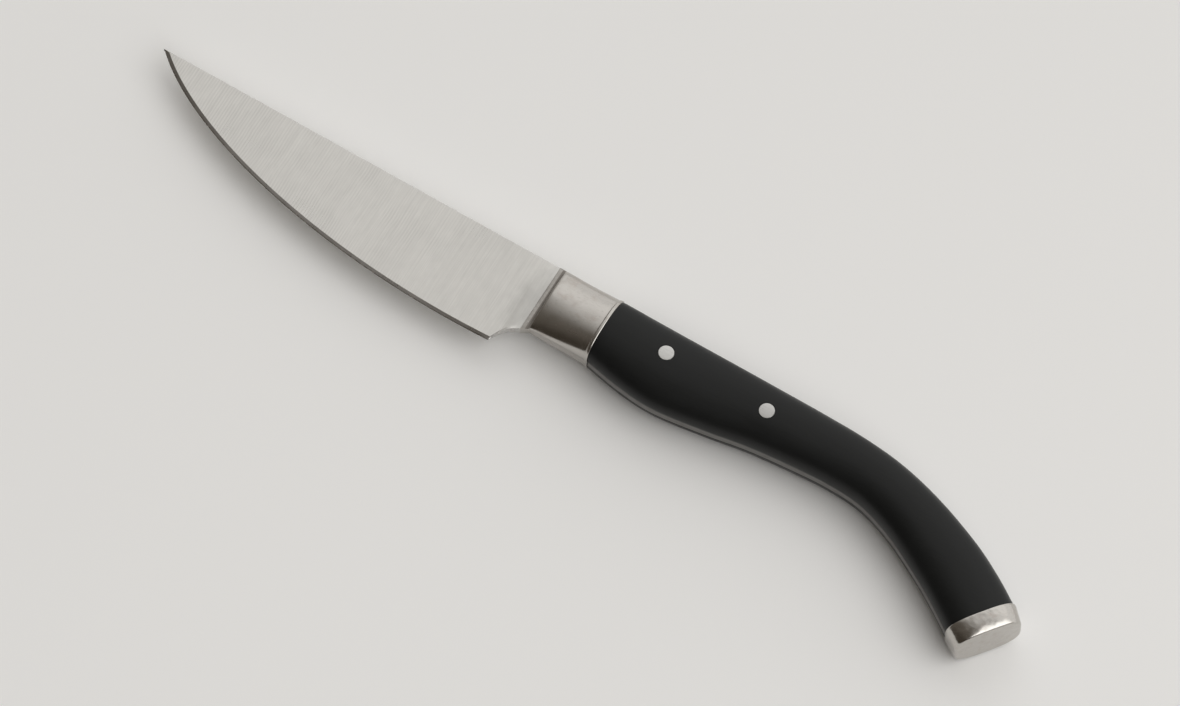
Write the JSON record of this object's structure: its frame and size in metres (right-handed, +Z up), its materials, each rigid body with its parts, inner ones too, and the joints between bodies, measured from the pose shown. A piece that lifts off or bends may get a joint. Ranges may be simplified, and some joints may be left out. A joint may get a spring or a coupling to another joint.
{
  "type": "steak knife",
  "caption": "Fixed-blade steak knife with a curved, full-tang handle: ground blade, polished bolster, pinned black scales and a steel butt cap.",
  "frame": {"origin": "on the surface that the knife lies on, under the middle of its bounding box", "axes": "+X from the tip towards the butt, along the spine; +Y towards the spine, away from the cutting edge; +Z up, square to the blade"},
  "size_m": [0.233, 0.0332, 0.0132],
  "materials": {
    "blade_steel": "satin ground",
    "bolster_steel": "polished",
    "handle_black": "satin moulded",
    "pin_steel": "fine satin",
    "cap_steel": "polished"
  },
  "bodies": {
    "root": {"blade": "blade_steel", "bolster_left": "bolster_steel", "bolster_right": "bolster_steel", "scale_left": "handle_black", "scale_right": "handle_black", "pin_front": "pin_steel", "pin_rear": "pin_steel", "butt_cap": "cap_steel"}
  },
  "joints": []
}
